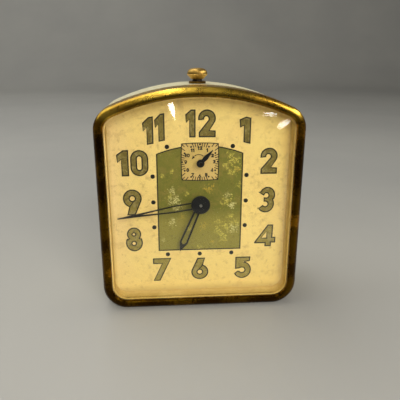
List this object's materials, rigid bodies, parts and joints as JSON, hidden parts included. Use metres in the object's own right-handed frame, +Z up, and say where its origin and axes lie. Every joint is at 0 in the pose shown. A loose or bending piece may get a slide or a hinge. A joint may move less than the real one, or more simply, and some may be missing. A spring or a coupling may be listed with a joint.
{
  "type": "wind-up alarm clock",
  "caption": "Wind-up alarm clock with an arched brass bezel, domed glass, deep painted case, stop button on top, rear winding keys and a full spring-driven movement with alarm train.",
  "frame": {"origin": "middle of the clock's box, on the surface that it stands on", "axes": "+X to the viewer's right, +Y from the dial towards the back, +Z up"},
  "size_m": [0.1024, 0.0606, 0.1224],
  "materials": {
    "cream_paint": "satin, aged",
    "aged_brass": "tarnished",
    "movement_brass": "plain",
    "clear_glass": "clear",
    "printed_dial": "matt, aged",
    "hand_black": "satin",
    "plated_steel": "dull plated",
    "steel": "plain",
    "dark_steel": "blued"
  },
  "bodies": {
    "frame": {"case_shell": "cream_paint", "bezel": "aged_brass", "crystal": "clear_glass", "spacer_ring": "cream_paint", "dial": "printed_dial", "back_cover": "cream_paint", "back_cover_screws": "plated_steel", "rear_feet": "cream_paint", "front_plate": "movement_brass", "back_plate": "movement_brass", "pillars": "steel", "cover_standoffs": "movement_brass", "plunger_collar": "aged_brass", "time_mainspring": "dark_steel", "alarm_mainspring": "dark_steel", "balance_screws": "steel", "hairspring": "dark_steel", "minute_wheel_stud": "steel", "alarm_release_spring": "steel", "sounding_post": "steel"},
    "stop_button": {"stop_plunger": "dark_steel", "stop_knob": "aged_brass"},
    "time_great": {"time_great_wheel": "movement_brass"},
    "time_click_arm": {"time_click": "steel"},
    "time_winder": {"time_ratchet": "steel", "time_winding_arbor": "steel", "time_key": "plated_steel"},
    "centre": {"centre_wheel": "movement_brass", "centre_pinion": "movement_brass"},
    "third": {"third_wheel": "movement_brass", "third_arbor": "steel"},
    "fourth": {"fourth_wheel": "movement_brass", "fourth_arbor": "steel"},
    "escape": {"escape_wheel": "movement_brass", "escape_arbor": "steel"},
    "lever": {"pallet_lever": "movement_brass", "lever_arbor": "steel"},
    "balance": {"balance_wheel": "movement_brass", "balance_staff": "steel"},
    "regulator": {"regulator_lever": "steel"},
    "minute": {"minute_arbor": "steel", "cannon_pinion": "movement_brass", "minute_hand": "hand_black", "hub_cap": "hand_black", "minute_set_knob": "aged_brass", "clutch_spring": "steel"},
    "minute_wheel_body": {"minute_wheel": "movement_brass"},
    "hour": {"hour_wheel": "movement_brass", "hour_hand": "hand_black"},
    "alarm_disc": {"alarm_wheel": "movement_brass"},
    "alarm_setting": {"alarm_set_arbor": "steel", "alarm_hand": "hand_black", "alarm_set_knob": "aged_brass"},
    "alarm_great": {"alarm_great_wheel": "movement_brass"},
    "alarm_click_arm": {"alarm_click": "steel"},
    "alarm_winder": {"alarm_winding_arbor": "steel", "alarm_key": "plated_steel"},
    "alarm_escape": {"alarm_escape_wheel": "movement_brass"},
    "hammer": {"hammer_verge": "steel", "hammer_head": "movement_brass"}
  },
  "joints": [
    {"name": "stop_pull", "type": "slide", "parent": "frame", "child": "stop_button", "axis": [0, 0, 1], "range_m": [0, 0.003]},
    {"name": "minute_turn", "type": "hinge", "parent": "frame", "child": "minute", "pos_m": [0, -0.01777, 0.0566], "axis": [0, 1, 0], "continuous": true},
    {"name": "minute_wheel_turn", "type": "hinge", "parent": "frame", "child": "minute_wheel_body", "pos_m": [-0.01233, -0.01777, 0.05211], "axis": [0, 1, 0], "continuous": true},
    {"name": "hour_turn", "type": "hinge", "parent": "frame", "child": "hour", "pos_m": [0, -0.01777, 0.0566], "axis": [0, 1, 0], "continuous": true},
    {"name": "alarm_disc_turn", "type": "hinge", "parent": "frame", "child": "alarm_disc", "pos_m": [0, -0.01777, 0.0776], "axis": [0, 1, 0], "continuous": true},
    {"name": "alarm_set_turn", "type": "hinge", "parent": "frame", "child": "alarm_setting", "pos_m": [0, -0.01777, 0.0776], "axis": [0, 1, 0], "continuous": true},
    {"name": "fourth_turn", "type": "hinge", "parent": "frame", "child": "fourth", "pos_m": [0.01678, -0.01777, 0.0778], "axis": [0, 1, 0], "continuous": true},
    {"name": "third_turn", "type": "hinge", "parent": "frame", "child": "third", "pos_m": [0.01216, -0.01777, 0.06512], "axis": [0, 1, 0], "continuous": true},
    {"name": "centre_turn", "type": "hinge", "parent": "frame", "child": "centre", "pos_m": [0, -0.01777, 0.0566], "axis": [0, 1, 0], "continuous": true},
    {"name": "time_great_turn", "type": "hinge", "parent": "frame", "child": "time_great", "pos_m": [0.02098, -0.01777, 0.03961], "axis": [0, 1, 0], "continuous": true},
    {"name": "escape_turn", "type": "hinge", "parent": "frame", "child": "escape", "pos_m": [0.01456, -0.01777, 0.09041], "axis": [0, 1, 0], "continuous": true},
    {"name": "time_wind", "type": "hinge", "parent": "time_great", "child": "time_winder", "pos_m": [0.02098, -0.01777, 0.03961], "axis": [0, 1, 0], "continuous": true},
    {"name": "time_click_lift", "type": "hinge", "parent": "time_great", "child": "time_click_arm", "pos_m": [0.01279, -0.01777, 0.03387], "axis": [0, 1, 0], "range_deg": [0, 14], "stiffness_Nm_per_rad": 0.0001},
    {"name": "lever_rock", "type": "hinge", "parent": "frame", "child": "lever", "pos_m": [0.00428, -0.01777, 0.09041], "axis": [0, 1, 0], "range_deg": [-4, 4]},
    {"name": "balance_swing", "type": "hinge", "parent": "frame", "child": "balance", "pos_m": [-0.00762, -0.01777, 0.09041], "axis": [0, 1, 0], "range_deg": [-220, 220], "stiffness_Nm_per_rad": 0.00002},
    {"name": "regulator_shift", "type": "hinge", "parent": "frame", "child": "regulator", "pos_m": [-0.00762, -0.01777, 0.09041], "axis": [0, 1, 0], "range_deg": [-20, 20]},
    {"name": "alarm_great_turn", "type": "hinge", "parent": "frame", "child": "alarm_great", "pos_m": [-0.02098, -0.01777, 0.03961], "axis": [0, 1, 0], "continuous": true},
    {"name": "alarm_escape_turn", "type": "hinge", "parent": "frame", "child": "alarm_escape", "pos_m": [-0.02642, -0.01777, 0.05989], "axis": [0, 1, 0], "continuous": true},
    {"name": "alarm_wind", "type": "hinge", "parent": "alarm_great", "child": "alarm_winder", "pos_m": [-0.02098, -0.01777, 0.03961], "axis": [0, 1, 0], "continuous": true},
    {"name": "alarm_click_lift", "type": "hinge", "parent": "alarm_great", "child": "alarm_click_arm", "pos_m": [-0.02917, -0.01777, 0.03387], "axis": [0, 1, 0], "range_deg": [0, 14], "stiffness_Nm_per_rad": 0.0001},
    {"name": "hammer_swing", "type": "hinge", "parent": "frame", "child": "hammer", "pos_m": [-0.02477, -0.01777, 0.06925], "axis": [0, 1, 0], "range_deg": [-5, 5]}
  ],
  "couplings": [
    {"joint": "minute_wheel_turn", "follows": "minute_turn", "ratio": -0.33333},
    {"joint": "hour_turn", "follows": "minute_turn", "ratio": 0.083333},
    {"joint": "alarm_disc_turn", "follows": "minute_turn", "ratio": -0.083333},
    {"joint": "third_turn", "follows": "fourth_turn", "ratio": -0.125},
    {"joint": "centre_turn", "follows": "fourth_turn", "ratio": 0.015625},
    {"joint": "time_great_turn", "follows": "fourth_turn", "ratio": -0.0026042},
    {"joint": "escape_turn", "follows": "fourth_turn", "ratio": -7.5},
    {"joint": "alarm_escape_turn", "follows": "alarm_great_turn", "ratio": -6}
  ]
}
